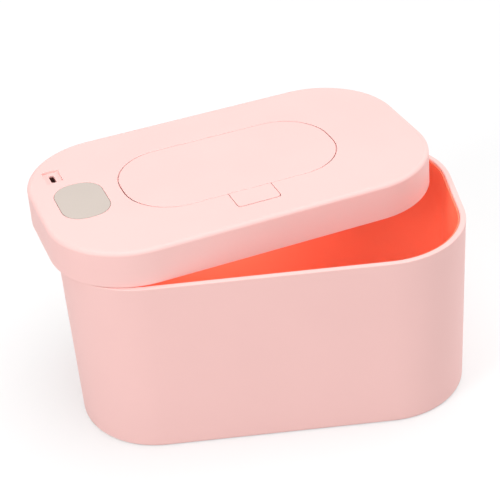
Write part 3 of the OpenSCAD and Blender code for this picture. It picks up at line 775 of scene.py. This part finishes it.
class WARMER_OT_button(Operator):
    """Build the release button"""

    bl_idname = "warmer.button"
    bl_label = "Release button"

    def execute(self, context):
        flap = context.scene.warmer_flap
        low, top = BUTTON_LOW.z, BUTTON_HIGH.z
        front, back = BUTTON_LOW.y, FLAP_LOW.y - flap.button_back
        long, wide, y = flap.button_length, back - front, (front + back) / 2
        outer = (long, wide, flap.button_corner)
        inner_corner, tab_root, tab_edge = 0.4 * MM, 0.3 * MM, 0.2 * MM
        inner = (long - 2 * flap.button_wall, wide - 2 * flap.button_wall, inner_corner)
        shape = {"centre": (0, y), "steps": 8, "back_corner": flap.button_back_corner}
        bm = bmesh.new()
        steps = ((inner, top - flap.button_top), (inner, low), (outer, low), (outer, top))
        hoops = [hoop(bm, *size, height, **shape) for size, height in steps]
        skin(bm, hoops)
        cap(bm, hoops[0], hoops[-1])
        soften(bm, hoops[-1], flap.button_edge)
        half = flap.tab_width / 2
        for side in (-1, 1):
            near, far = sorted((side * (long / 2 - tab_root), side * (long / 2 + flap.tab_reach)))
            block(bm, (near, y - half, low), (far, y + half, low + flap.tab_height), tab_edge)
        piece(bm, "release_key", "button", "lid_pink", ["release_button"])
        return {"FINISHED"}


class WARMER_OT_window(Operator):
    """Build the touch window"""

    bl_idname = "warmer.window"
    bl_label = "Touch window"

    def execute(self, context):
        sizes = context.scene.warmer_lid
        long, wide, centre = footprint(WINDOW_LOW, WINDOW_HIGH)
        size = (long, wide, sizes.window_corner)
        bm = bmesh.new()
        under = hoop(bm, *size, WINDOW_LOW.z, centre=centre)
        rim = hoop(bm, *size, WINDOW_HIGH.z, centre=centre)
        skin(bm, [under, rim])
        cap(bm, under, rim)
        soften(bm, rim, sizes.window_edge, SMALL_STEPS)
        piece(bm, "touch_pad", "lid", "window_greige", ["touch_window"])
        return {"FINISHED"}


class WARMER_OT_mouth(Operator):
    """Build the tray under the flap, its soft mouth and the flap's seal"""

    bl_idname = "warmer.mouth"
    bl_label = "Tray, mouth and seal"

    def execute(self, context):
        sizes = context.scene.warmer_mouth
        self.tray(sizes, context.scene.warmer_flap)
        self.lips(sizes)
        self.seal(sizes)
        return {"FINISHED"}

    def tray(self, sizes, flap):
        wall, floor, foot = sizes.wall, MOUTH_LOW.z, TRAY_LOW.z
        under, rise = floor - wall, floor + sizes.collar_height
        long, wide, middle = footprint(TRAY_LOW, TRAY_HIGH)
        collar = oval(sizes.collar_length, sizes.collar_width)
        throat = oval(sizes.throat_length, sizes.throat_width)
        steps = (
            (collar, floor), (collar, rise), (grown(collar, -wall), rise),
            (grown(collar, -wall), floor), (grown(throat, -wall), floor),
            (grown(throat, -wall), foot), (throat, foot), (throat, under),
        )
        bm = bmesh.new()
        size = (long, wide, sizes.tray_corner)
        tray_under, rim_out, rim_in, tray_floor = cup(
            bm, size, wall, under, TRAY_HIGH.z, floor, centre=(0, middle[1])
        )
        mouth = [hoop(bm, *around, height) for around, height in steps]
        collar_foot, collar_out, collar_in, _, throat_in, _, throat_out, throat_top = mouth
        skin(bm, mouth)
        fill(bm, tray_floor, collar_foot)
        fill(bm, tray_under, throat_top)
        for edges in (rim_out, rim_in, collar_out, collar_in, throat_in, throat_out):
            soften(bm, edges, sizes.edge, SMALL_STEPS)
        self.notch(bm, sizes, flap)
        piece(bm, "tray", "lid", "lid_pink", ["dispenser_tray"])

    def notch(self, bm, sizes, flap):
        """Opens the tray's front wall where the flap's catch hangs."""
        half = flap.catch_width / 2 + sizes.notch_gap
        low = LID_HIGH.z - flap.thickness - flap.catch_drop - sizes.notch_depth
        back = TRAY_LOW.y + sizes.wall + 0.01 * MM
        cheeks = ((0, -half), (0, half), (2, low))  # each with its axis and its place

        def front_wall():
            return [face for face in bm.faces if all(vert.co.y < back for vert in face.verts)]

        def between(face):
            return abs(face.calc_center_median().x) < half

        for axis, place in cheeks:
            faces = [face for face in front_wall() if axis == 0 or between(face)]
            around = {item for face in faces for item in (*face.edges, *face.verts)}
            point, normal = Vector(), Vector()
            point[axis], normal[axis] = place, 1
            bmesh.ops.bisect_plane(
                bm, geom=faces + list(around), plane_co=point, plane_no=normal
            )
        gone = [
            face for face in front_wall() if between(face) and face.calc_center_median().z > low
        ]
        rim = {vert for face in gone for vert in face.verts}
        bmesh.ops.delete(bm, geom=gone, context="FACES")
        rim = [vert for vert in rim if vert.is_valid]
        cap(bm, *(
            [vert for vert in rim if abs(vert.co[axis] - place) < WELD] for axis, place in cheeks
        ))

    def lips(self, sizes):
        size = oval(*footprint(MOUTH_LOW, MOUTH_HIGH)[:2])
        rim_edge, foot_edge, lip_edge = 0.4 * MM, 0.3 * MM, 0.35 * MM
        slit = (sizes.slit_length, sizes.slit_width, sizes.slit_width / 2 - 0.2 * MM)
        low, top = MOUTH_LOW.z, MOUTH_HIGH.z
        flat = low + sizes.mouth_thickness
        steps = (
            (size, low), (size, flat), (grown(slit, sizes.lip_foot), flat),
            (grown(slit, sizes.lip_neck), flat + sizes.lip_rise),
            (grown(slit, sizes.lip_top), top), (slit, top), (slit, low),
        )
        bm = bmesh.new()
        hoops = [hoop(bm, *around, height) for around, height in steps]
        skin(bm, hoops, closed=True)
        soften(bm, hoops[1], rim_edge, SMALL_STEPS)
        soften(bm, hoops[3], foot_edge, SMALL_STEPS)
        for edges in hoops[4:6]:
            soften(bm, edges, lip_edge)
        piece(bm, "mouth_lips", "lid", "silicone", ["soft_mouth"])

    def seal(self, sizes):
        size = oval(*footprint(SEAL_LOW, SEAL_HIGH)[:2])
        inner = grown(size, -sizes.seal_width)
        low, top = SEAL_LOW.z, SEAL_HIGH.z
        bm = bmesh.new()
        steps = ((size, top), (size, low), (inner, low), (inner, top))
        hoops = [hoop(bm, *around, height) for around, height in steps]
        skin(bm, hoops, closed=True)
        for edges in hoops[1:3]:
            soften(bm, edges, sizes.seal_edge, MEDIUM_STEPS)
        piece(bm, "seal_ring", "flap", "silicone", ["flap_seal"])


class WARMER_OT_inner(Operator):
    """Finish the lid's inner parts, which keep the frame's shapes"""

    bl_idname = "warmer.inner"
    bl_label = "Inner parts"

    def execute(self, context):
        slots = {part["node"]: part["material_slot"] for part in frame["record"]["subparts"]}
        slots["port_socket"] = "dark_socket"  # painted shade: the socket gets a dark reddish brown that stands for the shade and pink bounce light inside the slit
        for name, node in frame["nodes"].items():
            if node.hide_render:
                continue
            if not node.material_slots:
                node.data.materials.append(None)
            for place in node.material_slots:
                place.material = finish(slots[name])
        return {"FINISHED"}


class WARMER_OT_stage(Operator):
    """Set up the floor, the white background, the soft studio light and the camera"""

    bl_idname = "warmer.stage"
    bl_label = "Stage"

    def execute(self, context):
        stage = context.scene.warmer_stage
        self.floor(stage)
        self.world(stage)
        for lamp in LAMPS:
            self.lamp(*lamp)
        inside = bpy.data.collections.new("inside")
        inside.objects.link(bpy.data.objects["liner"])
        for lamp in INSIDE_LAMPS:
            made = self.lamp(*lamp)
            made.visible_camera = False
            made.light_linking.receiver_collection = inside
            made.light_linking.blocker_collection = inside
        self.camera(stage)
        context.scene.view_settings.view_transform = "Standard"
        return {"FINISHED"}

    def floor(self, stage):
        bm = bmesh.new()
        bmesh.ops.create_grid(bm, x_segments=8, y_segments=8, size=stage.floor_size / 2)
        bmesh.ops.translate(bm, vec=(0, 0, -stage.floor_gap), verts=bm.verts)
        mesh = bpy.data.meshes.new("floor")
        bm.to_mesh(mesh)
        bm.free()
        floor = bpy.data.objects.new("floor", mesh)
        bpy.context.scene.collection.objects.link(floor)
        material = bpy.data.materials.new("floor")
        material.use_nodes = True
        tree = material.node_tree
        # the floor looks white far from the lamps too, and throws none of that on the pieces
        near, far = 0.5, 2
        place = add_node(tree, "ShaderNodeTexCoord")["Object"]
        reach = add_node(tree, "ShaderNodeVectorMath", {0: place}, operation="LENGTH")["Value"]
        paler = add_node(tree, "ShaderNodeMapRange", {
            "Value": reach, "From Min": near, "From Max": far,
            "To Min": stage.floor_lift, "To Max": stage.floor_lift * 2,
        })["Result"]
        ray = add_node(tree, "ShaderNodeLightPath")
        seen = larger(tree, ray["Is Camera Ray"], ray["Is Glossy Ray"])
        lift = add_node(tree, "ShaderNodeMath", {0: seen, 1: paler}, operation="MULTIPLY")
        plug(tree, tree.nodes["Principled BSDF"], {
            "Base Color": (0.5, 0.5, 0.5, 1), "Roughness": 1, "Specular IOR Level": 0,
            "Emission Color": (1, 1, 1, 1), "Emission Strength": lift["Value"],
        })
        mesh.materials.append(material)

    def world(self, stage):
        """White where the camera or glass sees it, and the room's light elsewhere."""
        world = bpy.data.worlds.new("room")
        bpy.context.scene.world = world
        world.use_nodes = True
        tree = world.node_tree
        place = add_node(tree, "ShaderNodeTexCoord")["Generated"]
        across = add_node(tree, "ShaderNodeSeparateXYZ", {"Vector": place})["X"]
        strength = add_node(tree, "ShaderNodeMapRange", {
            "Value": across, "From Min": -1,
            "To Min": stage.room_light_left, "To Max": stage.room_light_right,
        })["Result"]
        room = tree.nodes["Background"]
        plug(tree, room, {"Color": (1, 1, 1, 1), "Strength": strength})
        white = add_node(tree, "ShaderNodeBackground", {"Color": (1, 1, 1, 1), "Strength": 1})
        ray = add_node(tree, "ShaderNodeLightPath")
        seen = larger(tree, ray["Is Camera Ray"], ray["Is Transmission Ray"])
        mix = add_node(tree, "ShaderNodeMixShader", {
            "Fac": seen, 1: room.outputs["Background"], 2: white["Background"],
        })
        plug(tree, tree.nodes["World Output"], {"Surface": mix["Shader"]})

    def lamp(self, name, place, aim, size, power):
        data = bpy.data.lights.new(name, "AREA")
        data.shape, data.size, data.energy = "DISK", size, power
        lamp = bpy.data.objects.new(name, data)
        lamp.location = place
        lamp.rotation_euler = (Vector(aim) - Vector(place)).to_track_quat("-Z", "Y").to_euler()
        bpy.context.scene.collection.objects.link(lamp)
        return lamp

    def camera(self, stage):
        data = bpy.data.cameras.new("camera")
        data.sensor_width, data.lens = 36, stage.focal_length
        data.clip_start, data.clip_end = 0.01, 50
        camera = bpy.data.objects.new("camera", data)
        camera.matrix_world = (
            Matrix.Translation(stage.camera_place)
            @ Matrix.Rotation(stage.camera_turn, 4, "Z")
            @ Matrix.Rotation(math.pi / 2 - stage.camera_tilt, 4, "X")
            @ Matrix.Rotation(stage.camera_roll, 4, "Z")
        )
        bpy.context.scene.collection.objects.link(camera)
        bpy.context.scene.camera = camera


# Lamps: name, place, the point they are aimed at, diameter and power in watts
LAMPS = (
    ("above", (0, 0, 2.2), (0, 0, 0), 2.0, 24.5),
    ("left", (-1.6, -1.2, 0.8), (0, 0, 0), 0.8, 20),
)
# Lamps that light the inside of the tub alone, where the loose lid keeps the others out
INSIDE_LAMPS = (
    ("inside", (-0.5, -1.2, 0.95), (0, 0, 0), 0.5, 4),
    ("inside near", (-0.11, -0.2, 0.29), (0, 0, 0), 0.2, 0.8),
    ("inside left", (-0.03, 0.0, 0.08), (-0.03, 0.055, 0.02), 0.04, 0.05),
)


class WARMER_PT_pieces(Panel):
    """The wipe warmer's pieces and their sizes"""

    bl_idname = "WARMER_PT_pieces"
    bl_label = "Wipe Warmer"
    bl_space_type = "VIEW_3D"
    bl_region_type = "UI"
    bl_category = "Wipe Warmer"

    def draw(self, context):
        for kind in OPERATORS:
            self.layout.operator(kind.bl_idname)
        for name, kind in GROUPS.items():
            box = self.layout.box()
            for field in kind.__annotations__:
                box.prop(getattr(context.scene, name), field)


OPERATORS = (
    WARMER_OT_tub, WARMER_OT_liner, WARMER_OT_lid, WARMER_OT_flap, WARMER_OT_button,
    WARMER_OT_window, WARMER_OT_mouth, WARMER_OT_inner, WARMER_OT_stage,
)
GROUPS = {
    "warmer_tub": TubSizes, "warmer_lid": LidSizes, "warmer_flap": FlapSizes,
    "warmer_mouth": MouthSizes, "warmer_finishes": Finishes, "warmer_stage": StageSettings,
}


def register():
    for kind in (*GROUPS.values(), *OPERATORS, WARMER_PT_pieces):
        bpy.utils.register_class(kind)
    for name, kind in GROUPS.items():
        setattr(bpy.types.Scene, name, PointerProperty(type=kind))


def unregister():
    for name in GROUPS:
        delattr(bpy.types.Scene, name)
    for kind in reversed((*GROUPS.values(), *OPERATORS, WARMER_PT_pieces)):
        bpy.utils.unregister_class(kind)


def main():
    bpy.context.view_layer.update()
    register()
    for kind in OPERATORS:
        group, name = kind.bl_idname.split(".")
        getattr(getattr(bpy.ops, group), name)()


if __name__ == "__main__":
    main()
